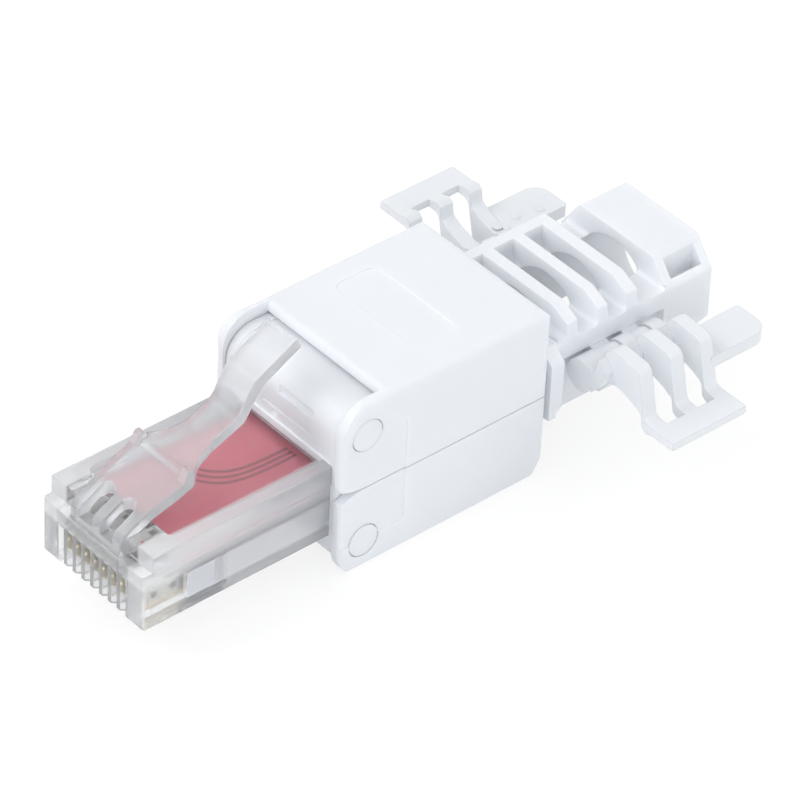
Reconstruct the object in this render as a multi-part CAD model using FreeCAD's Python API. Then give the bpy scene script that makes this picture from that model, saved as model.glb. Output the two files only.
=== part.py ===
import FreeCAD, Part
import math
import os

V = FreeCAD.Vector

# Sizes in mm. X is across the plug, Y runs from the nose to the cable inlet, Z is up.
# Cuts that go right through end at BEYOND along the plug and at ABOVE over it.
BEYOND = 30.0
ABOVE = 16.0
NOSE_WIDTH = 11.48
RAIL_WIDTH = 11.68
NOSE_BOTTOM = 3.1
NOSE_TOP = 8.1
RAIL_TOP = 9.65
RAIL_SET_BACK = 1.0
RAIL_STRIP = 1.05
NOSE_FRONT = 0.1
SHELL_REAR = 17.4
VALLEY_FRONT = 3.4
VALLEY_FLOOR = 9.15
CONTACT_PITCH = 1.02
CONTACT_COUNT = 8
CONTACT_THICK = 0.3
SLOT_WIDTH = 0.62
SLOT_TOP = 6.7

HOUSING_HALF = 7.25
HOUSING_WALL = 0.85
HOUSING_FRONT = 17.15
HOUSING_REAR = 36.95
HOUSING_TOP = 15.3
COVER_INSIDE = HOUSING_HALF - HOUSING_WALL
PLATE_FRONT = 21.2
PLATE_THICK = 0.85
SEAM = 7.45
SEAM_GAP = 0.08
PIVOT_Y = 19.5
UPPER_PIVOT_Z = 12.4
LOWER_PIVOT_Z = 2.5
PIVOT_RADIUS = 1.35
PIVOT_CLEARANCE = 0.05
EAR_SWEEP = 4.9
FIELD_HALF = 5.0
FIELD_FRONT = 26.2
FIELD_REAR = 30.3
FIELD_DEPTH = 0.1

CARRIER_HALF = COVER_INSIDE - 0.06
CARRIER_FRONT = SHELL_REAR
CARRIER_TOP = 14.3
CARRIER_BOTTOM = 0.95
CARRIER_BLOCK_REAR = 22.6
BED_HALF = COVER_INSIDE - 0.42
BED_REAR = HOUSING_REAR - 2.55
BED_TOP = 10.3
BED_BOTTOM = 3.8
WIRE_X = (1.28, 3.88)
PRESS_HALF = BED_HALF - 0.7
WINDOW_HALF = BED_HALF - 0.6

BOARD_HALF = WIRE_X[1] + 1.12
BOARD_NOSE_HALF = 4.55
BOARD_BOTTOM = 6.7
BOARD_TOP = 7.7
BOARD_FRONT = 1.9
BOARD_REAR = BED_REAR - 0.5
PIN_ROW_Y = 3.65
PIN_DEPTH = 0.35
COMB_HALF = 4.9
COMB_FRONT = 6.2
COMB_REAR = 7.15
CHEEK_FRONT = 4.6
CHEEK_INSIDE = 4.12
CHANNEL_BOTTOM = 3.6
CHANNEL_TOP = 5.95
TONGUE_DEPTH = 1.8
TERMINAL_ROWS = (BED_REAR - 8.4, BED_REAR - 4.9)
TERMINAL_THICK = 0.4
WIRE_GROOVE = 1.1

CAGE_MID = 7.7
CAGE_HALF = 5.86
CAGE_TOP = 12.4
NECK_FRONT = HOUSING_REAR + 0.85
CAGE_FRONT = NECK_FRONT + 1.3
RIBS = tuple((CAGE_FRONT + a, CAGE_FRONT + b) for a, b in ((1.0, 2.1), (4.1, 5.1), (7.0, 8.1)))
BLOCK_FRONT = RIBS[2][1] + 2.8
BLOCK_LENGTH = 4.75
LENGTH = BLOCK_FRONT + BLOCK_LENGTH
RAIL_LEDGE = 10.2
SIDE_WALL = CAGE_HALF - 0.66
INLET_RADIUS = 3.8
NECK_HALF = 6.8
TONGUE_HALF = WINDOW_HALF - 0.3
HOOK_X = (TONGUE_HALF - 0.83, TONGUE_HALF - 0.23)

HINGE_X = 7.2
HINGE_PIN = 0.55
HINGE_BORE = 0.62
BARREL_RADIUS = 1.35
KNUCKLE_RADIUS = 1.2
FINGERS = tuple((CAGE_FRONT + a, CAGE_FRONT + b) for a, b in ((2.0, 3.3), (5.1, 6.4), (8.1, 9.35)))
KNUCKLES = ((FINGERS[0][1] + 0.1, FINGERS[1][0] - 0.1), (FINGERS[1][1] + 0.1, FINGERS[2][0] - 0.1))
WING_REACH = 16.7
HUB_FRONT = CAGE_FRONT + 1.2
TAB_REACH = 13.0
TAB_END = FINGERS[2][1] + 5.65

LATCH_ROOT = (0.85, 8.0)
LATCH_PIN = 0.55
LATCH_TROUGH = 0.6
LATCH_THICK = 1.0


def box(x0, x1, y0, y1, z0, z1):
    return Part.makeBox(x1 - x0, y1 - y0, z1 - z0, V(x0, y0, z0))


def wire_of(corners, place):
    """Closed wire through corners (a, b) or (a, b, radius)."""
    count = len(corners)
    nodes = []
    for i in range(count):
        a = corners[i - 1]
        b = corners[i]
        c = corners[(i + 1) % count]
        radius = b[2] if len(b) > 2 else 0.0
        if radius == 0.0:
            nodes.append((b[:2], None, b[:2]))
            continue
        u = (a[0] - b[0], a[1] - b[1])
        w = (c[0] - b[0], c[1] - b[1])
        lu = math.hypot(u[0], u[1])
        lw = math.hypot(w[0], w[1])
        u = (u[0] / lu, u[1] / lu)
        w = (w[0] / lw, w[1] / lw)
        half = 0.5 * math.acos(max(-1.0, min(1.0, u[0] * w[0] + u[1] * w[1])))
        reach = radius / math.tan(half)
        bis = (u[0] + w[0], u[1] + w[1])
        lb = math.hypot(bis[0], bis[1])
        bis = (bis[0] / lb, bis[1] / lb)
        deep = radius / math.sin(half) - radius
        start = (b[0] + u[0] * reach, b[1] + u[1] * reach)
        mid = (b[0] + bis[0] * deep, b[1] + bis[1] * deep)
        end = (b[0] + w[0] * reach, b[1] + w[1] * reach)
        nodes.append((start, mid, end))
    edges = []
    for i in range(count):
        start, mid, end = nodes[i]
        following = nodes[(i + 1) % count][0]
        if mid is not None:
            edges.append(Part.Arc(place(start), place(mid), place(end)).toShape())
        if math.hypot(end[0] - following[0], end[1] - following[1]) > 1e-6:
            edges.append(Part.makeLine(place(end), place(following)))
    return Part.Wire(edges)


def along_x(corners, x0, x1):
    """Prism of a (y, z) outline between two x planes."""
    face = Part.Face(wire_of(corners, lambda p: V(x0, p[0], p[1])))
    return face.extrude(V(x1 - x0, 0, 0))


def along_y(corners, y0, y1):
    """Prism of an (x, z) outline between two y planes."""
    face = Part.Face(wire_of(corners, lambda p: V(p[0], y0, p[1])))
    return face.extrude(V(0, y1 - y0, 0))


def along_z(corners, z0, z1):
    """Prism of an (x, y) outline between two z planes."""
    face = Part.Face(wire_of(corners, lambda p: V(p[0], p[1], z0)))
    return face.extrude(V(0, 0, z1 - z0))


def rod_x(y, z, radius, x0, x1):
    return Part.makeCylinder(radius, x1 - x0, V(x0, y, z), V(1, 0, 0))


def rod_y(x, z, radius, y0, y1):
    return Part.makeCylinder(radius, y1 - y0, V(x, y0, z), V(0, 1, 0))


def join(shapes):
    whole = shapes[0].multiFuse(shapes[1:])
    return whole.removeSplitter()


def half_turn(shape):
    """Copy turned half a turn about the cable axis."""
    turned = shape.copy()
    turned.rotate(V(0, 0, CAGE_MID), V(0, 1, 0), 180)
    return turned


def contact_x(index):
    return (index - (CONTACT_COUNT - 1) / 2.0) * CONTACT_PITCH


def plug_shell():
    nose = NOSE_WIDTH / 2.0
    rail = RAIL_WIDTH / 2.0
    valley = rail - RAIL_STRIP
    front = NOSE_FRONT
    lower = box(-nose, nose, front, SHELL_REAR, NOSE_BOTTOM, NOSE_TOP)
    plan = along_z([(-nose, front, 0.3), (nose, front, 0.3), (nose, SHELL_REAR), (-nose, SHELL_REAR)], 0, 12)
    side = along_x(
        [(front, NOSE_BOTTOM, 0.35), (SHELL_REAR, NOSE_BOTTOM), (SHELL_REAR, 12), (front, 12)], -nose, nose)
    lower = lower.common(plan).common(side)
    upper = along_y(
        [(-rail, 7.9), (rail, 7.9), (rail, RAIL_TOP, 0.15), (-rail, RAIL_TOP, 0.15)],
        RAIL_SET_BACK, SHELL_REAR)
    lip = along_x([(0.0, 6.85, 0.15), (0.9, 6.85), (0.9, 8.0), (0.0, 8.0, 0.15)], -3.0, 3.0)
    rear_tongue = box(-4.4, 4.4, SHELL_REAR, SHELL_REAR + TONGUE_DEPTH, 5.95, 8.6)
    body = join([lower, upper, lip, rear_tongue])
    cuts = [
        along_z(
            [(-valley, VALLEY_FRONT, 0.5), (valley, VALLEY_FRONT, 0.5), (valley, BEYOND), (-valley, BEYOND)],
            VALLEY_FLOOR, 12),
        box(-3.05, 3.05, -1, VALLEY_FRONT + 0.3, NOSE_TOP, 12),
        rod_x(LATCH_ROOT[0], LATCH_ROOT[1], LATCH_TROUGH, -2.95, 2.95),
        board_blank(0.03),
        box(-COMB_HALF, COMB_HALF, COMB_FRONT, BEYOND, CHANNEL_BOTTOM, CHANNEL_TOP),
        box(CHEEK_INSIDE, COMB_HALF, CHEEK_FRONT, COMB_FRONT + 0.1, CHANNEL_BOTTOM, CHANNEL_TOP),
        box(-COMB_HALF, -CHEEK_INSIDE, CHEEK_FRONT, COMB_FRONT + 0.1, CHANNEL_BOTTOM, CHANNEL_TOP),
    ]
    for index in range(CONTACT_COUNT):
        x = contact_x(index)
        cuts.append(box(x - SLOT_WIDTH / 2, x + SLOT_WIDTH / 2, -1, 6.0, 0, SLOT_TOP))
    tips = along_x([(-1, 2), (0.7, 2), (0.7, 3.1), (0.1, 3.45), (-1, 3.45)], -3.9, 3.9)
    cuts.append(tips)
    return body.cut(cuts)


def contact(index):
    """Contact blade with two nose lobes, a window and a pin into the board."""
    x = contact_x(index)
    half = CONTACT_THICK / 2
    blade = along_x(
        [(0.95, SLOT_TOP), (0.42, 6.35, 0.2), (0.42, 5.72, 0.12), (0.68, 5.52, 0.08), (0.42, 5.32, 0.12),
         (0.42, 4.85, 0.2), (0.8, 4.3, 0.3), (1.75, 3.5, 0.4), (5.35, 3.5, 0.4), (5.75, 4.1, 0.2),
         (5.75, SLOT_TOP)],
        x - half, x + half)
    window = along_x(
        [(3.0, 5.65, 0.28), (4.6, 5.65, 0.28), (4.6, 6.25, 0.28), (3.0, 6.25, 0.28)], x - 1, x + 1)
    holes = [rod_x(2.15, 4.75, 0.32, x - 1, x + 1), rod_x(3.95, 4.75, 0.32, x - 1, x + 1)]
    pin = box(x - half, x + half, PIN_ROW_Y - 0.25, PIN_ROW_Y + 0.25, SLOT_TOP, BOARD_TOP - PIN_DEPTH)
    return join([blade, pin]).cut([window] + holes)


def contact_comb():
    """Comb behind the contacts, with a cheek beside the outer contact on each side."""
    play = 0.02
    high = CHANNEL_TOP - play
    inner = CHEEK_INSIDE + play
    outer = COMB_HALF - play
    comb = join([
        box(-outer, outer, COMB_FRONT + play, COMB_REAR, CHANNEL_BOTTOM, high),
        box(inner, outer, CHEEK_FRONT + play, COMB_FRONT + 0.5, CHANNEL_BOTTOM, high),
        box(-outer, -inner, CHEEK_FRONT + play, COMB_FRONT + 0.5, CHANNEL_BOTTOM, high),
    ])
    grooves = []
    for index in range(CONTACT_COUNT):
        x = contact_x(index)
        grooves.append(box(x - 0.25, x + 0.25, COMB_FRONT - 1, COMB_FRONT + 0.5, 0, 12))
    return comb.cut(grooves)


def board_blank(play):
    """Board outline, narrow in the nose and wide on the bed, grown by the given play."""
    a = BOARD_NOSE_HALF + play
    b = BOARD_HALF + play
    front = BOARD_FRONT - play
    step = SHELL_REAR + TONGUE_DEPTH
    return along_z(
        [(-a, front), (a, front), (a, step), (b, step),
         (b, BOARD_REAR), (-b, BOARD_REAR), (-b, step), (-a, step)],
        BOARD_BOTTOM - play, BOARD_TOP + play)


def circuit_board():
    board = board_blank(0.0)
    holes = []
    for index in range(CONTACT_COUNT):
        x = contact_x(index)
        holes.append(box(x - 0.25, x + 0.25, PIN_ROW_Y - 0.3, PIN_ROW_Y + 0.3, 0, 12))
    for x, y, up in terminal_places():
        holes.append(box(x - 0.4, x + 0.4, y - TERMINAL_THICK / 2, y + TERMINAL_THICK / 2, 0, 12))
    return board.cut(holes)


def terminal_places():
    """Wire positions: four above the board, then four below, in two staggered rows."""
    near, far = TERMINAL_ROWS
    inner, outer = WIRE_X
    above = [(-outer, far, True), (-inner, near, True), (inner, near, True), (outer, far, True)]
    below = [(-outer, near, False), (-inner, far, False), (inner, far, False), (outer, near, False)]
    return above + below


def terminal(x, y, up):
    """Forked blade that cuts through a wire's cover and grips its core."""
    low = BOARD_TOP
    high = BED_TOP
    fork = along_y(
        [(x - 0.9, low), (x + 0.9, low), (x + 0.9, high - 0.5), (x + 0.6, high), (x + 0.17, high - 0.55),
         (x + 0.17, low + 0.7, 0.1), (x - 0.17, low + 0.7, 0.1), (x - 0.17, high - 0.55), (x - 0.6, high),
         (x - 0.9, high - 0.5)],
        y - TERMINAL_THICK / 2, y + TERMINAL_THICK / 2)
    pin = box(x - 0.4, x + 0.4, y - TERMINAL_THICK / 2, y + TERMINAL_THICK / 2, BOARD_BOTTOM, BOARD_TOP)
    blade = join([fork, pin])
    if not up:
        blade.rotate(V(x, y, (BOARD_TOP + BOARD_BOTTOM) / 2), V(0, 1, 0), 180)
    return blade


def terminal_carrier():
    y = CARRIER_FRONT
    front = along_x(
        [(y, CARRIER_BOTTOM, 1.0), (CARRIER_BLOCK_REAR, CARRIER_BOTTOM),
         (CARRIER_BLOCK_REAR, CARRIER_TOP), (y, CARRIER_TOP, 2.4)],
        -CARRIER_HALF, CARRIER_HALF)
    panel = along_x(
        [(y - 1, RAIL_TOP + 0.1), (y + 0.15, RAIL_TOP + 0.1), (y + 0.15, CARRIER_TOP - 0.12, 2.0),
         (PLATE_FRONT + 0.6, CARRIER_TOP - 0.12), (PLATE_FRONT + 0.6, ABOVE), (y - 1, ABOVE)],
        0.85 - CARRIER_HALF, CARRIER_HALF - 0.85)
    front = front.cut(panel)
    bed = box(-BED_HALF, BED_HALF, CARRIER_BLOCK_REAR, BED_REAR, BED_BOTTOM, BED_TOP)
    pieces = [front, bed]
    for z in (UPPER_PIVOT_Z, LOWER_PIVOT_Z):
        pieces.append(rod_x(PIVOT_Y, z, PIVOT_RADIUS, CARRIER_HALF - 0.5, HOUSING_HALF - 0.04))
        pieces.append(rod_x(PIVOT_Y, z, PIVOT_RADIUS, -HOUSING_HALF + 0.04, -CARRIER_HALF + 0.5))
    for side in (-1, 1):
        x0, x1 = sorted((side * HOOK_X[0], side * HOOK_X[1]))
        pieces.append(box(x0, x1, BED_REAR - 0.5, BED_REAR + 1.2, CAGE_MID - 1.0, CAGE_MID + 0.6))
    body = join(pieces)
    cuts = [
        board_blank(0.0),
        box(-4.4, 4.4, 0, SHELL_REAR + TONGUE_DEPTH, 5.95, 8.6),
        box(-0.6, 3.3, 0, y + 0.45, 12.3, 12.95),
        box(-2.3, 3.3, 0, y + 0.3, 10.72, 10.9),
        Part.makeCylinder(0.3, 1, V(-0.9, y - 0.72, 10.25), V(0, 1, 0)),
    ]
    for x, y, up in terminal_places():
        low = BOARD_TOP if up else BED_BOTTOM - 1
        high = BED_TOP + 1 if up else BOARD_BOTTOM
        cuts.append(box(x - 0.92, x + 0.92, y - 0.22, y + 0.22, low, high))
    for x in (-WIRE_X[1], -WIRE_X[0], WIRE_X[0], WIRE_X[1]):
        half = WIRE_GROOVE / 2
        cuts.append(box(x - half, x + half, 23.9, BED_REAR + 2, BOARD_TOP + 0.6, BED_TOP + 1))
        cuts.append(box(x - half, x + half, 23.9, BED_REAR + 2, BED_BOTTOM - 1, BOARD_BOTTOM - 0.6))
    return body.cut(cuts)


def cover_blank(up):
    """Solid outer form of a cover before its inside is opened."""
    if up:
        pivot_z = UPPER_PIVOT_Z
        seam_z = SEAM + SEAM_GAP / 2
        far = [(HOUSING_FRONT, HOUSING_TOP, 2.6), (HOUSING_REAR, HOUSING_TOP, 0.7)]
    else:
        pivot_z = LOWER_PIVOT_Z
        seam_z = SEAM - SEAM_GAP / 2
        far = [(HOUSING_FRONT, 0, 2.0), (HOUSING_REAR - 1.15, 0, 0.4), (HOUSING_REAR, 1.95, 0.4)]
    w = HOUSING_HALF
    side = along_x(far + [(HOUSING_REAR, seam_z), (HOUSING_FRONT, seam_z)], -w, w)
    z0, z1 = sorted((pivot_z, 2 * seam_z - pivot_z))
    corner = box(-w - 1, w + 1, HOUSING_FRONT - 1, PIVOT_Y, z0, z1)
    corner = corner.cut(rod_x(PIVOT_Y, pivot_z, EAR_SWEEP, -w - 2, w + 2))
    if up:
        section = [(-w, 0), (w, 0), (w, HOUSING_TOP, 0.7), (-w, HOUSING_TOP, 0.7)]
    else:
        section = [(-w, 0, 0.5), (w, 0, 0.5), (w, HOUSING_TOP), (-w, HOUSING_TOP)]
    across = along_y(section, HOUSING_FRONT - 1, HOUSING_REAR + 1)
    plan = along_z(
        [(-w, HOUSING_FRONT, 0.4), (w, HOUSING_FRONT, 0.4), (w, HOUSING_REAR, 0.3), (-w, HOUSING_REAR, 0.3)],
        -1, HOUSING_TOP + 1)
    return side.cut(corner).common(across).common(plan)


def press_tongues(up):
    """Small bars that push each wire down into its terminal."""
    bars = []
    for x, y, above in terminal_places():
        if above != up:
            continue
        if up:
            low, high = BOARD_TOP + 1.6, BED_TOP + 0.3
        else:
            low, high = BED_BOTTOM - 0.3, BOARD_BOTTOM - 1.6
        bars.append(box(x - 0.4, x + 0.4, y - 1.8, y - 0.9, low, high))
        bars.append(box(x - 0.4, x + 0.4, y + 0.35, y + 1.35, low, high))
    return bars


def cover(up):
    blank = cover_blank(up)
    inside = COVER_INSIDE
    hollow = box(-inside, inside, HOUSING_FRONT - 1, HOUSING_REAR - HOUSING_WALL, -1, HOUSING_TOP + 1)
    walls = blank.cut(hollow)
    rear = HOUSING_REAR - 2
    if up:
        low, high = HOUSING_TOP - PLATE_THICK, HOUSING_TOP
        low_round, high_round = 0.2, 0.6
        pivot_z = UPPER_PIVOT_Z
        window = box(-WINDOW_HALF, WINDOW_HALF, rear, HOUSING_REAR + 1, -1, BED_TOP + 0.3)
        press_low, press_high = BED_TOP + 0.15, high - 0.4
    else:
        low, high = 0.0, PLATE_THICK
        low_round, high_round = 0.6, 0.2
        pivot_z = LOWER_PIVOT_Z
        window = box(-WINDOW_HALF, WINDOW_HALF, rear, HOUSING_REAR + 1, BED_BOTTOM - 0.3, HOUSING_TOP + 1)
        press_low, press_high = low + 0.4, BED_BOTTOM - 0.15
    block = box(-PRESS_HALF, PRESS_HALF, CARRIER_BLOCK_REAR + 1.6, BED_REAR - 2.8, press_low, press_high)
    plate = along_x(
        [(PLATE_FRONT, low, low_round), (HOUSING_REAR, low),
         (HOUSING_REAR, high), (PLATE_FRONT, high, high_round)],
        -inside - 0.2, inside + 0.2)
    plate = plate.common(blank)
    body = join([walls, plate, block] + press_tongues(up))
    cuts = [window]
    cuts.append(rod_x(PIVOT_Y, pivot_z, PIVOT_RADIUS + PIVOT_CLEARANCE, -9, 9))
    pad_low = LOWER_PIVOT_Z + 0.15
    pad_high = UPPER_PIVOT_Z - 0.1
    pad_rear = PIVOT_Y + 3.8
    for side in (-1, 1):
        x0, x1 = sorted((side * (HOUSING_HALF - 0.1), side * (HOUSING_HALF + 1)))
        pad = [(10, pad_low), (pad_rear, pad_low, 0.4), (pad_rear, pad_high, 0.4), (10, pad_high)]
        cuts.append(along_x(pad, x0, x1))
    if up:
        cuts.append(top_field())
    return body.cut(cuts)


def top_field():
    """Shallow rounded field in the upper cover, left empty."""
    x = FIELD_HALF
    return along_z(
        [(-x, FIELD_FRONT, 0.9), (x, FIELD_FRONT, 0.9), (x, FIELD_REAR, 0.9), (-x, FIELD_REAR, 0.9)],
        HOUSING_TOP - FIELD_DEPTH, HOUSING_TOP + 1)


def hinge_knuckles():
    """Snap rings that hold a wing's hinge pin on the cage's right side."""
    parts = []
    for y0, y1 in KNUCKLES:
        ring = rod_y(HINGE_X, CAGE_MID, KNUCKLE_RADIUS, y0, y1)
        web = box(4.9, HINGE_X, y0, y1, CAGE_MID - 0.5, CAGE_MID + 0.8)
        solid = ring.fuse(web)
        mouth = box(HINGE_X - 0.45, HINGE_X + 0.45, y0 - 1, y1 + 1, CAGE_MID - 3, CAGE_MID)
        parts.append(solid.cut([rod_y(HINGE_X, CAGE_MID, HINGE_BORE, y0 - 1, y1 + 1), mouth]))
    return parts


def cable_cage():
    m = CAGE_MID
    top = CAGE_TOP
    low = 2 * m - top
    h = CAGE_HALF
    upper = [(-4.9, top, 0.2), (3.95, top, 0.3), (h - 0.25, top - 0.8, 0.3), (h, RAIL_LEDGE, 0.2),
             (h, m + 0.85, 0.1), (SIDE_WALL, m + 0.6)]
    right = [(SIDE_WALL, low + 0.45)]
    lower = [(-a[0], 2 * m - a[1]) + tuple(a[2:]) for a in upper]
    left = [(-SIDE_WALL, top - 0.45)]
    main = along_y(upper + right + lower + left, CAGE_FRONT, BLOCK_FRONT)
    neck = along_y(
        [(NECK_HALF, 4.3), (NECK_HALF, 9.3, 0.6), (5.6, 10.3), (-5.6, 11.3), (-NECK_HALF, 2 * m - 4.3),
         (-NECK_HALF, 2 * m - 9.3, 0.6), (-5.6, 2 * m - 10.3), (5.6, 2 * m - 11.3)],
        NECK_FRONT, CAGE_FRONT)
    tongue = box(-TONGUE_HALF, TONGUE_HALF, BED_REAR, NECK_FRONT, BED_BOTTOM + 0.1, BED_TOP - 0.1)
    block = along_y(
        [(4.0, top, 0.3), (h, 10.1, 0.3), (h, 5.65, 0.3), (4.0, low, 0.3),
         (-4.0, low, 0.3), (-h, 2 * m - 10.1, 0.3), (-h, 2 * m - 5.65, 0.3), (-4.0, top, 0.3)],
        BLOCK_FRONT, LENGTH)
    knuckles = hinge_knuckles()
    turned = [half_turn(k) for k in knuckles]
    body = join([main, neck, tongue, block] + knuckles + turned)
    cuts = [
        rod_y(0, m, INLET_RADIUS, NECK_FRONT + 1.2, LENGTH + 1),
        box(-4.05, 4.05, BED_REAR - 1, NECK_FRONT + 1.6, 4.7, 9.4),
    ]
    for side in (-1, 1):
        x0, x1 = sorted((side * HOOK_X[0], side * HOOK_X[1]))
        cuts.append(box(x0, x1, BED_REAR - 1, BED_REAR + 1.2, m - 1.0, m + 0.6))
    step = along_x(
        [(CAGE_FRONT - 0.6, 3), (CAGE_FRONT + 1, 3), (CAGE_FRONT + 1, 5.2), (CAGE_FRONT, 5.2),
         (CAGE_FRONT - 0.6, 4.7)],
        5.4, 9)
    gaps = [(CAGE_FRONT, RIBS[0][0]), (RIBS[0][1], RIBS[1][0]), (RIBS[1][1], RIBS[2][0])]
    slots = [cage_slot(y0, y1, -3.9) for y0, y1 in gaps]
    slots.append(cage_slot(RIBS[2][1], BLOCK_FRONT, -9))
    pocket = box(4.35, 5.4, BLOCK_FRONT + 0.9, LENGTH - 0.75, 9.7, ABOVE)
    for cut in [step, pocket] + slots:
        cuts.append(cut)
        cuts.append(half_turn(cut))
    return body.cut(cuts)


def cage_slot(y0, y1, x0):
    """Slot between two ribs, rounded at its feet and at a closed left end."""
    reach = NECK_HALF + 2
    profile = along_x([(y0, RAIL_LEDGE, 0.4), (y1, RAIL_LEDGE, 0.4), (y1, ABOVE), (y0, ABOVE)], x0, reach)
    end = along_y([(x0, RAIL_LEDGE, 1.2), (reach, RAIL_LEDGE), (reach, ABOVE), (x0, ABOVE)], y0, y1)
    return profile.common(end)


def wing_finger(y0, y1):
    return along_y(
        [(HINGE_X, 9.0), (8.6, 8.7, 0.15), (9.0, 11.2, 1.1), (12.5, 10.95, 0.8), (13.45, 6.82, 0.7),
         (WING_REACH, 6.82, 0.12), (WING_REACH, 6.17, 0.12), (14.5, 6.17), (13.75, 5.95, 0.25),
         (13.3, 6.25, 0.15), (13.1, 7.35, 0.5), (12.1, 7.85), (10.4, 8.3, 0.8), (9.5, 8.0, 0.4),
         (8.55, 6.6, 0.3), (HINGE_X, 6.4)],
        y0, y1)


def right_wing():
    y0 = FINGERS[0][0]
    y1 = FINGERS[-1][1]
    parts = [rod_y(HINGE_X, CAGE_MID, HINGE_PIN, y0, y1)]
    parts.append(rod_y(HINGE_X, CAGE_MID, BARREL_RADIUS, HUB_FRONT, y0))
    parts.append(along_y(
        [(7.6, 9.0), (8.6, 8.85), (9.0, 10.3), (9.9, 9.4, 0.3), (9.4, 7.9, 0.4), (8.5, 6.9), (8.5, 8.0),
         (8.3, 8.5)],
        HUB_FRONT, y1))
    for a, b in FINGERS:
        parts.append(wing_finger(a, b))
        parts.append(rod_y(HINGE_X, CAGE_MID, BARREL_RADIUS, a, b))
    parts.append(along_z(
        [(14.6, y0), (WING_REACH, y0, 0.25), (WING_REACH, y1, 0.25), (14.6, y1)], 6.17, 6.82))
    tab = along_z(
        [(9.5, y1 - 0.3), (TAB_REACH, y1 - 0.3), (TAB_REACH, TAB_END, 1.4), (9.5, TAB_END, 0.3)], 8.15, 9.2)
    parts.append(tab)
    return join(parts)


def offset_line(points, distance):
    """Polyline at a fixed distance to the right of its direction of travel."""
    moved = []
    for i, point in enumerate(points):
        normals = []
        for a, b in ((i - 1, i), (i, i + 1)):
            if a < 0 or b >= len(points):
                continue
            dx = points[b][0] - points[a][0]
            dy = points[b][1] - points[a][1]
            size = math.hypot(dx, dy)
            normals.append((dy / size, -dx / size))
        nx = sum(n[0] for n in normals)
        ny = sum(n[1] for n in normals)
        size = math.hypot(nx, ny)
        nx /= size
        ny /= size
        stretch = nx * normals[0][0] + ny * normals[0][1]
        moved.append((point[0] + nx * distance / stretch, point[1] + ny * distance / stretch))
    return moved


def latch():
    top = [(0.32, 8.0), (0.5, 9.6), (3.03, 10.95), (6.78, 12.37), (9.4, 12.95), (12.0, 14.05), (13.4, 16.55),
           (17.3, 18.8)]
    under = offset_line(top, LATCH_THICK)
    bends = [0, 0.9, 1.0, 0, 2.0, 1.6, 1.6, 0.35]
    inner = [0, 0.4, 0, 0, 1.2, 0.8, 2.2, 0.25]
    outline = [p + (r,) if r else p for p, r in zip(top, bends)]
    outline += [p + (r,) if r else p for p, r in zip(under[::-1], inner[::-1])]
    side = along_x(outline, -3.1, 3.1)
    plan = along_z(
        [(-2.8, 0), (2.8, 0), (2.82, 3.2), (3.04, 5.6), (3.04, 6.9, 0.3), (1.95, 8.1, 1.0), (1.46, 9.8),
         (1.65, 18.2, 0.4), (-1.65, 18.2, 0.4), (-1.46, 9.8), (-1.95, 8.1, 1.0), (-3.04, 6.9, 0.3),
         (-3.04, 5.6), (-2.82, 3.2)],
        0, BEYOND)
    body = side.common(plan)
    barrel = rod_x(LATCH_ROOT[0], LATCH_ROOT[1], LATCH_PIN, -2.8, 2.8)
    bumps = []
    for s in (-1, 1):
        x0, x1 = sorted((s * 2.3, s * 3.04))
        bumps.append(along_x([(5.7, 11.6), (6.9, 12.1), (6.85, 12.95, 0.3), (6.3, 12.95, 0.3)], x0, x1))
    rib = along_x([(6.0, 11.8), (6.85, 12.1), (6.85, 12.5, 0.1), (6.3, 12.5, 0.1)], -2.5, 2.5)
    body = join([body, barrel, rib] + bumps)
    recesses = []
    for s in (-1, 1):
        x0, x1 = sorted((s * 0.45, s * 1.85))
        recesses.append(along_z([(x0, -1), (x1, -1), (x1, 3.0, 0.65), (x0, 3.0, 0.65)], 8.62, 14))
    return body.cut(recesses)


def nodes():
    made = {"plug_shell": plug_shell(), "latch": latch(), "circuit_board": circuit_board()}
    made["contact_comb"] = contact_comb()
    for index in range(CONTACT_COUNT):
        made["contact_%d" % (index + 1)] = contact(index)
    for index, (x, y, up) in enumerate(terminal_places()):
        made["terminal_%d" % (index + 1)] = terminal(x, y, up)
    made["terminal_carrier"] = terminal_carrier()
    made["upper_cover"] = cover(True)
    made["lower_cover"] = cover(False)
    made["cable_cage"] = cable_cage()
    made["right_wing"] = right_wing()
    made["left_wing"] = half_turn(made["right_wing"])
    return made


def single_solid(name, shape):
    solids = shape.Solids
    if len(solids) != 1 or not solids[0].isValid():
        sizes = [round(s.Volume, 3) for s in solids]
        raise ValueError("%s has %d solids %s" % (name, len(solids), sizes))
    return solids[0]


def main():
    os.makedirs("parts", exist_ok=True)
    for name, shape in nodes().items():
        solid = single_solid(name, shape)
        solid.translate(V(0, -LENGTH / 2.0, 0))
        solid.exportStep("parts/%s.step" % name)


main()
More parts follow.
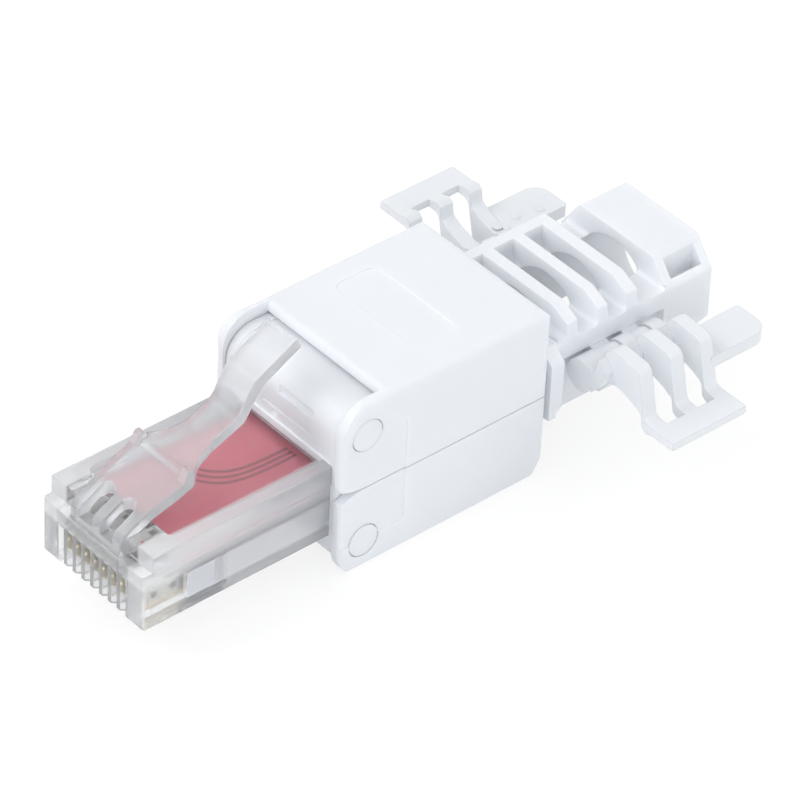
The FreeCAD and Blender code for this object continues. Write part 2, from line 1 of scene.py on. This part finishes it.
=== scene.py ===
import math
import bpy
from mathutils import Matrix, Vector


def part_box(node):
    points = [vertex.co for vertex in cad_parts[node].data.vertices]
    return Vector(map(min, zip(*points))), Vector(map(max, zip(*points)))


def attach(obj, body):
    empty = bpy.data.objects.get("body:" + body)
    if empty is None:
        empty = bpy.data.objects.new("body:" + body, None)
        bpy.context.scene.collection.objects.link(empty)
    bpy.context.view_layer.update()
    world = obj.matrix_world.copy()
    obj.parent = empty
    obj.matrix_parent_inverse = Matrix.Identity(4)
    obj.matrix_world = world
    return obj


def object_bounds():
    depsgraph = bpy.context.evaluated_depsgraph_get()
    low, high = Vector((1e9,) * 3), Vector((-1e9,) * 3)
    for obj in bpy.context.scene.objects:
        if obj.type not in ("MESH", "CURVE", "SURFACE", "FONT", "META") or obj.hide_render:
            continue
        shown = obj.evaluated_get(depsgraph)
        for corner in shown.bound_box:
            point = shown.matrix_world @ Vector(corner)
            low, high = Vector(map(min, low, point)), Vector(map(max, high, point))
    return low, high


bl_info = {
    "name": "Field Termination Plug",
    "version": (1, 0, 0),
    "blender": (4, 5, 0),
    "location": "3D View > Sidebar > Plug",
    "description": "Finishes and fine details for a modular network plug with hinged covers and clamp wings",
    "category": "Add Mesh",
}

import bmesh
import bpy
import numpy as np
from bpy.props import FloatProperty, FloatVectorProperty, IntProperty, PointerProperty
from mathutils import Matrix, Vector

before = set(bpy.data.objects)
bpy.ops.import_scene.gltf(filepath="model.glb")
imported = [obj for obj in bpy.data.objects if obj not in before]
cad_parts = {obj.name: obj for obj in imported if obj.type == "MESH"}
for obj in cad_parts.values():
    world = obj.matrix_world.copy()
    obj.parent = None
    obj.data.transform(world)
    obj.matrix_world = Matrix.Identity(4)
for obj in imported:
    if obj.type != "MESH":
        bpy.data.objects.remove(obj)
CAD_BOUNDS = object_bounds()
MM = 0.001
BODY = "plug_body"

# The frame's origin lies half the plug's length behind its nose.
HALF_LENGTH = 0.5 * (CAD_BOUNDS[1][1] - CAD_BOUNDS[0][1])

# Heights in mm over the plug's lowest face. The cage is centred on the cable's axis.
BOARD_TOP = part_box("circuit_board")[1][2] / MM
CABLE_AXIS = 0.5 * (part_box("cable_cage")[0][2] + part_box("cable_cage")[1][2]) / MM
TAB_UNDERSIDE = 8.15

# Sockets of a Mix node that is set to colours.
MIX_FACTOR, MIX_FIRST, MIX_SECOND, MIX_RESULT = 0, 6, 7, 2


def place(points):
    """Points in mm, counted from the nose, to metres in the frame."""
    moved = np.asarray(points, dtype=float) * MM
    moved[..., 1] -= HALF_LENGTH
    return moved


class PlugFinish(bpy.types.PropertyGroup):
    white: FloatVectorProperty(
        name="White plastic", description="Colour of covers, carrier, cage and wings",
        subtype="COLOR", size=3, min=0.0, max=1.0, default=(0.84, 0.862, 0.895))
    white_roughness: FloatProperty(
        name="White roughness", description="Mean roughness of the white plastic",
        default=0.36, min=0.0, max=1.0, subtype="FACTOR")
    clear: FloatVectorProperty(
        name="Clear plastic", description="Tint of the clear nose and latch",
        subtype="COLOR", size=3, min=0.0, max=1.0, default=(0.965, 0.972, 0.988))
    clear_ior: FloatProperty(
        name="Clear index", description="Refractive index of the clear plastic",
        default=1.31, min=1.0, max=2.0)
    mask: FloatVectorProperty(
        name="Solder mask", description="Red of the printed board",
        subtype="COLOR", size=3, min=0.0, max=1.0, default=(0.92, 0.17, 0.235))
    gold: FloatVectorProperty(
        name="Gold", description="Plating of the contacts",
        subtype="COLOR", size=3, min=0.0, max=1.0, default=(0.95, 0.84, 0.62))
    edge_round: FloatProperty(
        name="Edge round", description="Radius that the finish gives to moulded edges",
        default=0.00012, min=0.0, unit="LENGTH", precision=5)


class PlugDetail(bpy.types.PropertyGroup):
    trace_width: FloatProperty(
        name="Trace width", description="Width of a copper trace",
        default=0.0003, min=0.00005, unit="LENGTH", precision=5)
    trace_count: IntProperty(
        name="Traces", description="Number of traces that show", default=3, min=1, max=6)
    trace_height: FloatProperty(
        name="Trace height", description="Height of a trace over the board",
        default=0.00002, min=0.00001, unit="LENGTH", precision=6)
    dot_radius: FloatProperty(
        name="Dot radius", description="Radius of the ejector dots on the thumb tabs",
        default=0.0004, min=0.0001, unit="LENGTH", precision=5)


class PlugStage(bpy.types.PropertyGroup):
    floor_size: FloatProperty(
        name="Floor", description="Side of the floor", default=3.0, min=0.5, unit="LENGTH")
    key_power: FloatProperty(
        name="Key", description="Power of the key lamp", default=1.05, min=0.0, unit="POWER")
    fill_power: FloatProperty(
        name="Fill", description="Power of the fill lamp", default=0.62, min=0.0, unit="POWER")
    back_power: FloatProperty(
        name="Back", description="Power of the lamp behind", default=0.45, min=0.0, unit="POWER")
    world_strength: FloatProperty(
        name="Room", description="Strength of the room's light", default=0.745, min=0.0)


class Value:
    """A node's output. One that is a number takes part in Python arithmetic."""

    def __init__(self, graph, socket):
        self.graph = graph
        self.socket = socket

    def _math(self, operation, *operands):
        return self.graph.node("ShaderNodeMath", {"operation": operation}, dict(enumerate(operands)))

    def __add__(self, other):
        return self._math("ADD", self, other)

    def __sub__(self, other):
        return self._math("SUBTRACT", self, other)

    def __rsub__(self, other):
        return self._math("SUBTRACT", other, self)

    def __mul__(self, other):
        return self._math("MULTIPLY", self, other)

    __radd__ = __add__
    __rmul__ = __mul__

    def magnitude(self):
        return self._math("ABSOLUTE", self)

    def sine(self):
        return self._math("SINE", self)

    def larger(self, other):
        return self._math("MAXIMUM", self, other)

    def step(self, low, high):
        """Smooth step from 0 at low to 1 at high."""
        return self.graph.node(
            "ShaderNodeMapRange", {"interpolation_type": "SMOOTHSTEP"},
            {"Value": self, "From Min": low, "From Max": high, "To Min": 0.0, "To Max": 1.0})

    def rise(self, band):
        """Smooth step over a band in mm, from 0 before it to 1 past it."""
        return self.step(band[0] * MM, band[1] * MM)

    def fall(self, band):
        """Smooth step over a band in mm, from 1 before it to 0 past it."""
        return 1.0 - self.rise(band)


class Graph:
    """Node tree of one material or of the world."""

    def __init__(self, tree):
        self.tree = tree
        tree.nodes.clear()

    def feed(self, socket, value):
        if isinstance(value, Value):
            self.tree.links.new(value.socket, socket)
        elif value is not None:
            socket.default_value = value

    def raw(self, kind, settings=None, values=None):
        """New node, with its settings made first and then the values or links of its sockets."""
        node = self.tree.nodes.new(kind)
        for key, setting in (settings or {}).items():
            setattr(node, key, setting)
        for key, value in (values or {}).items():
            self.feed(node.inputs[key], value)
        return node

    def node(self, kind, settings=None, values=None, output=0):
        """One output of a new node."""
        return Value(self, self.raw(kind, settings, values).outputs[output])

    def mix(self, factor, first, second):
        """Colour between first and second."""
        return self.node(
            "ShaderNodeMix", {"data_type": "RGBA"},
            {MIX_FACTOR: factor, MIX_FIRST: first, MIX_SECOND: second}, MIX_RESULT)

    def shades(self, factor, colour, dark, light):
        """Colour that drifts between a darker and a lighter shade of itself."""
        return self.mix(factor, tint(colour, dark), tint(colour, light))

    def position(self):
        return self.node("ShaderNodeTexCoord", output="Object")

    def axes(self):
        """The place on the surface as its x, y and z in metres, in the frame."""
        split = self.raw("ShaderNodeSeparateXYZ", values={0: self.position()})
        return [Value(self, socket) for socket in split.outputs]

    def noise(self, scale, detail):
        return self.node(
            "ShaderNodeTexNoise", values={"Vector": self.position(), "Scale": scale, "Detail": detail})

    def bump(self, height, distance, strength, normal=None):
        return self.node(
            "ShaderNodeBump",
            values={"Height": height, "Distance": distance, "Strength": strength, "Normal": normal})

    def rounded(self, radius):
        """Normal that softens edges within the radius."""
        return self.node("ShaderNodeBevel", {"samples": 6}, {"Radius": radius})

    def looked_at(self):
        """1 for rays that show the background: straight, mirrored or seen through clear plastic."""
        path = self.raw("ShaderNodeLightPath")
        straight, mirrored, through = (
            Value(self, path.outputs["Is %s Ray" % kind]) for kind in ("Camera", "Glossy", "Transmission"))
        return straight.larger(mirrored).larger(through)

    def shader(self, values, settings=None):
        return self.node("ShaderNodeBsdfPrincipled", settings, values)

    def blend(self, factor, first, second):
        """The first shader where the factor is 0 and the second where it is 1."""
        return self.node("ShaderNodeMixShader", values={0: factor, 1: first, 2: second})

    def show(self, shader, output="ShaderNodeOutputMaterial"):
        self.raw(output, values={0: shader})


def tint(colour, gain):
    """Colour times a gain, with the alpha that a colour socket takes."""
    return tuple(min(1.0, part * gain) for part in colour[:3]) + (1.0,)


def grey(level):
    return (level, level, level, 1.0)


def new_material(name):
    material = bpy.data.materials.new(name)
    material.use_nodes = True
    return material, Graph(material.node_tree)


def white_plastic(finish, name, gain, scatter):
    """White moulded plastic: faint tone drift, fine grain in the gloss, soft edges."""
    material, g = new_material(name)
    drift = g.noise(scale=140.0, detail=2.0)
    grain = g.noise(scale=5200.0, detail=2.0)
    flow = g.noise(scale=650.0, detail=3.0)
    spread = 0.1
    # A gain below 1 darkens the whole colour: painted shade.
    g.show(g.shader({
        "Base Color": g.shades(drift, finish.white, 0.985 * gain, 1.015 * gain),
        "Roughness": finish.white_roughness - 0.5 * spread + spread * flow,
        "Normal": g.bump(grain, distance=0.000006, strength=0.35, normal=g.rounded(finish.edge_round)),
        "IOR": 1.5,
        "Subsurface Weight": scatter,
        "Subsurface Scale": 0.001,
        "Subsurface Radius": (1.0, 0.95, 0.9)}, settings={"subsurface_method": "BURLEY"}))
    return material


# Bands in mm over which the nose changes its look: sides are counted from the centre line, feet and tops
# from the lowest face, and the others from the front of the nose.
RAIL_SIDE = (3.9, 4.3)
RAIL_FOOT = (6.6, 7.2)
# Band over which the rails darken towards the housing: painted shade.
RAIL_SHADE_BAND = (3.0, 17.0)
WINDOW_FRONT = (0.6, 1.2)
SLOTS_REAR = (1.2, 2.4)
CHEEK_SIDE = (4.7, 4.9)
CHEEK_FRONT = (0.3, 0.6)
CHEEK_REAR = (7.4, 8.0)
CHEEK_TOP = (6.2, 6.8)
CHANNEL_SIDE = (5.0, 5.2)
CHANNEL_FRONT = (7.3, 7.6)
CHANNEL_FOOT = (3.3, 3.5)
CHANNEL_TOP = (5.9, 6.1)

# Share of the milky finish all over the nose, and what each place adds to it or takes from it.
MILK = 0.55
RAIL_MILK = 0.45
WINDOW_POLISH = 0.53
CHEEK_POLISH = 0.43
SLOTS_POLISH = 0.2

# Grey laid over the hollow channel of the nose: painted shade.
CHANNEL_PAINTED_SHADE = (0.87, 0.88, 0.91, 1.0)
# Grey that the rails reach towards the housing: painted shade.
RAIL_PAINTED_SHADE = (0.78, 0.79, 0.82, 1.0)


def clear_shell(finish):
    """Clear polycarbonate nose: milky along the rails, polished over the board, with painted shade greying
    the channel and the rails towards the housing.
    """
    material, g = new_material("clear_polycarbonate")
    x, y, z = g.axes()
    marks = g.noise(scale=2400.0, detail=3.0)
    cloud = g.noise(scale=320.0, detail=2.0)
    behind = y + HALF_LENGTH
    side = x.magnitude()
    outer = side.rise(RAIL_SIDE)
    high = z.rise(RAIL_FOOT)
    rail = outer * high
    window = (1.0 - outer) * high * behind.rise(WINDOW_FRONT)
    slots = (1.0 - outer) * (1.0 - high) * behind.fall(SLOTS_REAR)
    cheek = side.rise(CHEEK_SIDE) * z.fall(CHEEK_TOP) * behind.rise(CHEEK_FRONT) * behind.fall(CHEEK_REAR)
    hollow = side.fall(CHANNEL_SIDE) * z.rise(CHANNEL_FOOT) * z.fall(CHANNEL_TOP)
    channel = hollow * behind.rise(CHANNEL_FRONT)
    # Painted shade: the hollow channel turns grey.
    tone = g.mix(channel, g.shades(cloud, finish.clear, 0.985, 1.01), CHANNEL_PAINTED_SHADE)
    # Painted shade: the rails turn grey towards the housing.
    tone = g.mix(rail * behind.rise(RAIL_SHADE_BAND), tone, RAIL_PAINTED_SHADE)
    normal = g.bump(marks, distance=0.000012, strength=0.3, normal=g.rounded(finish.edge_round))
    shared = {"Base Color": tone, "Normal": normal, "IOR": finish.clear_ior}
    polished = g.shader({**shared, "Roughness": 0.04 + 0.04 * cloud, "Transmission Weight": 0.96})
    milky = g.shader({**shared, "Roughness": 0.2 + 0.06 * cloud, "Transmission Weight": 0.48})
    milk = MILK + RAIL_MILK * rail - WINDOW_POLISH * window - CHEEK_POLISH * cheek - SLOTS_POLISH * slots
    g.show(g.blend(milk, polished, milky))
    return material


def clear_latch(finish):
    """Frosted polycarbonate of the latch: cloudy gloss and a little milk in the bulk."""
    material, g = new_material("frosted_polycarbonate")
    cloud = g.noise(scale=320.0, detail=2.0)
    frost = g.noise(scale=1400.0, detail=2.0)
    g.show(g.shader({
        "Base Color": g.shades(cloud, finish.clear, 0.93, 0.96),
        "Roughness": 0.1 + 0.08 * frost,
        "Normal": g.rounded(finish.edge_round),
        "IOR": finish.clear_ior,
        "Transmission Weight": 0.73}))
    return material


# Edges of the bare end and of the red corner mark on it, as bands in mm from the centre line and the nose.
BARE_REAR = (4.38, 4.46)
MARK_LEFT = (2.2, 2.25)
MARK_RIGHT = (3.2, 3.25)
MARK_FRONT = (2.15, 2.2)
MARK_REAR = (2.9, 2.95)
NOTCH_LEFT = (2.5, 2.55)
NOTCH_FRONT = (2.45, 2.5)

# Phase of the glass cloth's wave in a metre, in radians.
CLOTH_WAVE = 5200.0
CLOTH_SPECK = (0.80, 0.45, 0.45, 1.0)
BARE_BOARD = (0.74, 0.73, 0.69, 1.0)


def board_finish(finish):
    """Red solder mask over glass cloth, with a pale bare end and a corner mark at the contact row."""
    material, g = new_material("red_solder_mask")
    x, y = g.axes()[:2]
    behind = y + HALF_LENGTH
    cloth = (x * CLOTH_WAVE).sine() * (y * CLOTH_WAVE).sine()
    speck = 0.25 * g.noise(scale=1900.0, detail=4.0).step(low=0.62, high=0.74)
    drift = g.noise(scale=160.0, detail=2.0)
    red = g.mix(speck, g.shades(drift, finish.mask, 0.9, 1.12), CLOTH_SPECK)
    mark = x.rise(MARK_LEFT) * x.fall(MARK_RIGHT) * behind.rise(MARK_FRONT) * behind.fall(MARK_REAR)
    notch = x.rise(NOTCH_LEFT) * behind.rise(NOTCH_FRONT)
    bare = behind.fall(BARE_REAR) * (1.0 - mark * (1.0 - notch))
    g.show(g.shader({
        "Base Color": g.mix(bare, red, BARE_BOARD),
        "Roughness": 0.34 + 0.12 * drift,
        "Normal": g.bump(cloth, distance=0.000004, strength=0.4),
        "Coat Weight": 0.35}))
    return material


def trace_finish(finish):
    """Copper trace under the red mask, darker than the board around it."""
    material, g = new_material("masked_copper_trace")
    drift = g.noise(scale=900.0, detail=3.0)
    g.show(g.shader({
        "Base Color": g.shades(drift, finish.mask, 0.5, 0.64),
        "Roughness": 0.3 + 0.1 * drift,
        "Metallic": 0.15}))
    return material


# Edges of a contact's plating, as bands in mm from the lowest face and the nose.
PLATED_FOOT_TOP = (4.05, 4.2)
PLATED_TIP_REAR = (0.8, 1.0)
NICKEL = (0.80, 0.77, 0.70, 1.0)


def contact_finish(finish):
    """Nickel blade with a gold plated working edge at the nose and along the foot."""
    material, g = new_material("plated_contact")
    y, z = g.axes()[1:]
    plated = z.fall(PLATED_FOOT_TOP).larger((y + HALF_LENGTH).fall(PLATED_TIP_REAR))
    brushed = g.noise(scale=6000.0, detail=2.0)
    g.show(g.shader({
        "Base Color": g.mix(plated, NICKEL, tint(finish.gold, 1.0)),
        "Metallic": 0.85,
        "Roughness": 0.25 + 0.12 * brushed,
        "Normal": g.bump(brushed, distance=0.000003, strength=0.4)}))
    return material


BRONZE = (0.78, 0.70, 0.55, 1.0)
TIN = (0.86, 0.80, 0.68, 1.0)


def terminal_finish():
    """Tin plated bronze of the wire forks."""
    material, g = new_material("tinned_bronze")
    cloud = g.noise(scale=2600.0, detail=3.0)
    g.show(g.shader({
        "Base Color": g.mix(cloud, BRONZE, TIN),
        "Metallic": 0.95,
        "Roughness": 0.3 + 0.15 * cloud}))
    return material


def surface_mesh(name, grids, material, smooth=True):
    """Mesh of one or more (rows, columns, 3) grids of points, each joined into quads in row order."""
    points = []
    quads = []
    base = 0
    for grid in grids:
        rows, columns = grid.shape[:2]
        index = base + np.arange(rows * columns).reshape(rows, columns)
        quads.append(np.stack(
            [index[:-1, :-1], index[1:, :-1], index[1:, 1:], index[:-1, 1:]], axis=-1).reshape(-1, 4))
        points.append(grid.reshape(-1, 3))
        base += rows * columns
    mesh = bpy.data.meshes.new(name)
    mesh.from_pydata(np.concatenate(points).tolist(), [], np.concatenate(quads).tolist())
    mesh.validate()
    mesh.materials.append(material)
    mesh.polygons.foreach_set("use_smooth", [smooth] * len(mesh.polygons))
    mesh.update()
    piece = bpy.data.objects.new(name, mesh)
    bpy.context.scene.collection.objects.link(piece)
    return piece


def sweep(path, profile, sideways, upward):
    """Profile carried along a path: point(i, j) = path(i) + a(j) * sideways(i) + b(j) * upward(i)."""
    return (path[:, None, :] + profile[None, :, 0:1] * sideways[:, None, :]
            + profile[None, :, 1:2] * upward[:, None, :])


def close_ends(piece):
    """Fills the open ends of swept pieces and turns all faces outwards."""
    shell = bmesh.new()
    shell.from_mesh(piece.data)
    bmesh.ops.remove_doubles(shell, verts=shell.verts, dist=1e-8)
    bmesh.ops.holes_fill(shell, edges=shell.edges, sides=0)
    bmesh.ops.recalc_face_normals(shell, faces=shell.faces)
    shell.to_mesh(piece.data)
    shell.free()
    piece.data.update()


# Traces, in mm: each starts at the foot of the left rail, swings across the board and settles into a line
# along it. The lines lie a gap apart, and so do the starts. The points along a trace crowd in its bend.
TRACE_LEFT = -3.9
TRACE_REAR = 17.3
TRACE_SWING = 3.45
TRACE_SETTLING = 1.3
FIRST_LINE = 1.95
LINE_GAP = 0.48
FIRST_START = 9.2
START_GAP = 0.43
TRACE_POINTS = 60
TRACE_CROWDING = 1.6
PROFILE_POINTS = 13


def trace_piece(detail, material):
    """Flat wires on the board along x = line - TRACE_SWING * exp(-(y - start) / TRACE_SETTLING)."""
    grids = []
    for k in range(detail.trace_count):
        line = FIRST_LINE - LINE_GAP * k
        start = FIRST_START + START_GAP * k
        front = start - TRACE_SETTLING * math.log((line - TRACE_LEFT) / TRACE_SWING)
        y = front + (TRACE_REAR - front) * np.linspace(0.0, 1.0, TRACE_POINTS) ** TRACE_CROWDING
        x = line - TRACE_SWING * np.exp(-(y - start) / TRACE_SETTLING)
        path = place(np.stack([x, y, np.full_like(y, BOARD_TOP)], axis=1))
        along = np.gradient(path, axis=0)
        along /= np.linalg.norm(along, axis=1, keepdims=True)
        up = np.tile([0.0, 0.0, 1.0], (len(y), 1))
        turn = np.linspace(0.0, 2.0 * np.pi, PROFILE_POINTS)
        profile = 0.5 * np.stack(
            [detail.trace_width * np.cos(turn), detail.trace_height * (1.0 + np.sin(turn))], axis=1)
        grids.append(sweep(path, profile, np.cross(along, up), up))
    piece = surface_mesh("board_traces", grids, material)
    close_ends(piece)
    return piece


# Ejector dots under the right thumb tab, in mm from the centre line and the nose, their height as a share
# of their radius, and the points of a dome's grid from its top to its rim and round it.
TAB_DOTS = ((10.8, 49.9), (10.4, 52.0), (10.7, 47.9))
DOT_HEIGHT = 0.3
DOME_ROWS = 8
DOME_COLUMNS = 25


def dot_piece(name, spots, level, turn, detail, material):
    """Low domes on a tab: r = radius * sin(u), z = height * cos(u); turn -1 puts them on the underside."""
    u = np.linspace(0.0, 0.5 * np.pi, DOME_ROWS)[:, None]
    v = np.linspace(0.0, 2.0 * np.pi, DOME_COLUMNS)[None, :]
    grids = []
    for x, y in spots:
        centre = place([x, y, level])
        grids.append(np.stack([
            centre[0] + detail.dot_radius * np.sin(u) * np.cos(v),
            centre[1] + turn * detail.dot_radius * np.sin(u) * np.sin(v),
            centre[2] + turn * DOT_HEIGHT * detail.dot_radius * np.cos(u) * np.ones_like(v)], axis=-1))
    return surface_mesh(name, grids, material)


def assign(node, material):
    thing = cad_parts[node]
    thing.data.materials.clear()
    thing.data.materials.append(material)


class PlasticOperator(bpy.types.Operator):
    """Gives the white plastic pieces their finish"""
    bl_idname = "field_plug.white_pieces"
    bl_label = "White pieces"

    def execute(self, context):
        finish = context.scene.plug_finish
        body = white_plastic(finish, "white_moulded_plastic", gain=1.0, scatter=0.35)
        for node in ("contact_comb", "terminal_carrier", "upper_cover", "lower_cover", "cable_cage"):
            assign(node, body)
        # Painted shade: the wings get a copy of the white plastic darkened by a gain of 0.96, standing in for
        # the lesser light that falls on them. The dots on their tabs share it.
        shaded_wing_plastic = white_plastic(finish, "white_wing_plastic", gain=0.96, scatter=0.1)
        for node in ("right_wing", "left_wing"):
            assign(node, shaded_wing_plastic)
        detail = context.scene.plug_detail
        below = dot_piece("right_tab_dots", TAB_DOTS, TAB_UNDERSIDE, -1, detail, shaded_wing_plastic)
        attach(below, "right_wing")
        turned = [(-x, y) for x, y in TAB_DOTS]
        above = dot_piece("left_tab_dots", turned, 2 * CABLE_AXIS - TAB_UNDERSIDE, 1, detail, shaded_wing_plastic)
        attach(above, "left_wing")
        return {"FINISHED"}


class ClearOperator(bpy.types.Operator):
    """Gives the clear nose and latch their finish"""
    bl_idname = "field_plug.clear_pieces"
    bl_label = "Clear pieces"

    def execute(self, context):
        finish = context.scene.plug_finish
        assign("plug_shell", clear_shell(finish))
        assign("latch", clear_latch(finish))
        return {"FINISHED"}


class MetalOperator(bpy.types.Operator):
    """Gives the contacts and wire forks their finish"""
    bl_idname = "field_plug.metal_pieces"
    bl_label = "Contacts and forks"

    def execute(self, context):
        plated = contact_finish(context.scene.plug_finish)
        tinned = terminal_finish()
        for index in range(1, 9):
            assign("contact_%d" % index, plated)
            assign("terminal_%d" % index, tinned)
        return {"FINISHED"}


class BoardOperator(bpy.types.Operator):
    """Finishes the printed board and adds its traces"""
    bl_idname = "field_plug.board"
    bl_label = "Board"

    def execute(self, context):
        finish = context.scene.plug_finish
        assign("circuit_board", board_finish(finish))
        traces = trace_piece(context.scene.plug_detail, trace_finish(finish))
        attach(traces, BODY)
        return {"FINISHED"}


# Place of each lamp in metres, its width and its colour. The stage's properties hold their powers.
LAMPS = {
    "key": ((-0.22, -0.34, 0.46), 0.35, (1.0, 1.0, 1.0)),
    "fill": ((0.45, -0.35, 0.2), 0.4, (0.86, 0.93, 1.0)),
    "back": ((0.25, 0.45, 0.28), 0.3, (0.92, 0.96, 1.0)),
}
LAMP_TARGET = (0.0, 0.0, 0.008)


def area_lamp(name, spot, width, colour, power):
    """Round lamp that faces the plug."""
    data = bpy.data.lights.new(name, "AREA")
    data.shape = "DISK"
    data.size = width
    data.energy = power
    data.color = colour
    lamp = bpy.data.objects.new(name, data)
    lamp.location = spot
    lamp.rotation_euler = (Vector(LAMP_TARGET) - Vector(spot)).to_track_quat("-Z", "Y").to_euler()
    bpy.context.scene.collection.objects.link(lamp)


# The floor's two greys as other rays meet it, its two greys as it is looked at, the glow that is added
# there, and how far in metres the floor stays under the plug.
FLOOR_PAPER = (0.86, 0.88)
FLOOR_SHOWN = (0.235, 0.245)
FLOOR_GLOW = 0.8
FLOOR_GAP = 0.00002


def floor_piece(size):
    """Flat square floor: white where it is looked at, with the plug's shadow, and pale to other rays."""
    material, g = new_material("pale_floor")
    grain = g.noise(scale=40.0, detail=2.0)
    paper, shown = (
        g.node("ShaderNodeBsdfDiffuse", values={"Color": g.mix(grain, grey(dark), grey(light))})
        for dark, light in (FLOOR_PAPER, FLOOR_SHOWN))
    glow = g.node("ShaderNodeEmission", values={"Color": grey(1.0), "Strength": FLOOR_GLOW})
    white = g.node("ShaderNodeAddShader", values={0: shown, 1: glow})
    g.show(g.blend(g.looked_at(), paper, white))
    u = np.linspace(-0.5 * size, 0.5 * size, 3)
    level = np.full((3, 3), CAD_BOUNDS[0][2] - FLOOR_GAP)
    grid = np.stack(np.meshgrid(u, u, indexing="ij") + [level], axis=-1)
    floor = surface_mesh("studio_floor", [grid[:, ::-1]], material, smooth=False)


def room_light(strength):
    """World that is white where it is looked at and lights the plug with its own strength."""
    world = bpy.data.worlds.new("studio_room")
    bpy.context.scene.world = world
    world.use_nodes = True
    g = Graph(world.node_tree)
    seen = strength + g.looked_at() * (1.0 - strength)
    back = g.node("ShaderNodeBackground", values={"Color": grey(1.0), "Strength": seen})
    g.show(back, "ShaderNodeOutputWorld")


# Camera solved from the photograph: its angles in degrees, aim point, distance and sensor width in mm, and
# focal length and picture width in pixels.
CAMERA_AZIMUTH = 47.725
CAMERA_ELEVATION = 38.973
CAMERA_ROLL = 2.882
CAMERA_AIM = (-29.055, 55.387, -25.426)
CAMERA_DISTANCE = 448.587
FOCAL_PIXELS = 5375.86
PHOTO_PIXELS = 800.0
SENSOR_WIDTH = 36.0


def camera_piece():
    """Camera at azimuth and elevation about the aim point, turned by the roll about its own line of sight."""
    azimuth, elevation, roll = np.radians([CAMERA_AZIMUTH, CAMERA_ELEVATION, CAMERA_ROLL])
    back = np.array([
        np.sin(azimuth) * np.cos(elevation), -np.cos(azimuth) * np.cos(elevation), np.sin(elevation)])
    right = np.cross([0.0, 0.0, 1.0], back)
    right /= np.linalg.norm(right)
    up = np.cross(back, right)
    pose = np.eye(4)
    pose[:3, 0] = np.cos(roll) * right + np.sin(roll) * up
    pose[:3, 1] = np.cos(roll) * up - np.sin(roll) * right
    pose[:3, 2] = back
    pose[:3, 3] = place(np.array(CAMERA_AIM) + back * CAMERA_DISTANCE)
    data = bpy.data.cameras.new("plug_camera")
    data.sensor_fit = "HORIZONTAL"
    data.sensor_width = SENSOR_WIDTH
    data.lens = FOCAL_PIXELS / PHOTO_PIXELS * SENSOR_WIDTH
    data.clip_start = 0.01
    data.clip_end = 20.0
    camera = bpy.data.objects.new("plug_camera", data)
    bpy.context.scene.collection.objects.link(camera)
    camera.matrix_world = Matrix(pose.tolist())
    bpy.context.scene.camera = camera


class StageOperator(bpy.types.Operator):
    """Adds the floor, lamps, room light and camera"""
    bl_idname = "field_plug.stage"
    bl_label = "Stage"

    def execute(self, context):
        stage = context.scene.plug_stage
        floor_piece(stage.floor_size)
        for name, (spot, width, colour) in LAMPS.items():
            area_lamp(name + "_lamp", spot, width, colour, getattr(stage, name + "_power"))
        room_light(stage.world_strength)
        camera_piece()
        context.scene.view_settings.view_transform = "Standard"
        return {"FINISHED"}


class PlugPanel(bpy.types.Panel):
    bl_label = "Field termination plug"
    bl_idname = "VIEW3D_PT_field_plug"
    bl_space_type = "VIEW_3D"
    bl_region_type = "UI"
    bl_category = "Plug"

    def draw(self, context):
        for group in (context.scene.plug_finish, context.scene.plug_detail, context.scene.plug_stage):
            for name in group.__annotations__:
                self.layout.prop(group, name)
        for operator in OPERATORS:
            self.layout.operator(operator.bl_idname)


OPERATORS = (PlasticOperator, ClearOperator, MetalOperator, BoardOperator, StageOperator)
GROUPS = (("plug_finish", PlugFinish), ("plug_detail", PlugDetail), ("plug_stage", PlugStage))


def register():
    for name, group in GROUPS:
        bpy.utils.register_class(group)
        setattr(bpy.types.Scene, name, PointerProperty(type=group))
    for operator in OPERATORS:
        bpy.utils.register_class(operator)
    bpy.utils.register_class(PlugPanel)


def unregister():
    bpy.utils.unregister_class(PlugPanel)
    for operator in reversed(OPERATORS):
        bpy.utils.unregister_class(operator)
    for name, group in reversed(GROUPS):
        delattr(bpy.types.Scene, name)
        bpy.utils.unregister_class(group)


def main():
    register()
    for operator in OPERATORS:
        area, action = operator.bl_idname.split(".")
        getattr(getattr(bpy.ops, area), action)()


if __name__ == "__main__":
    main()
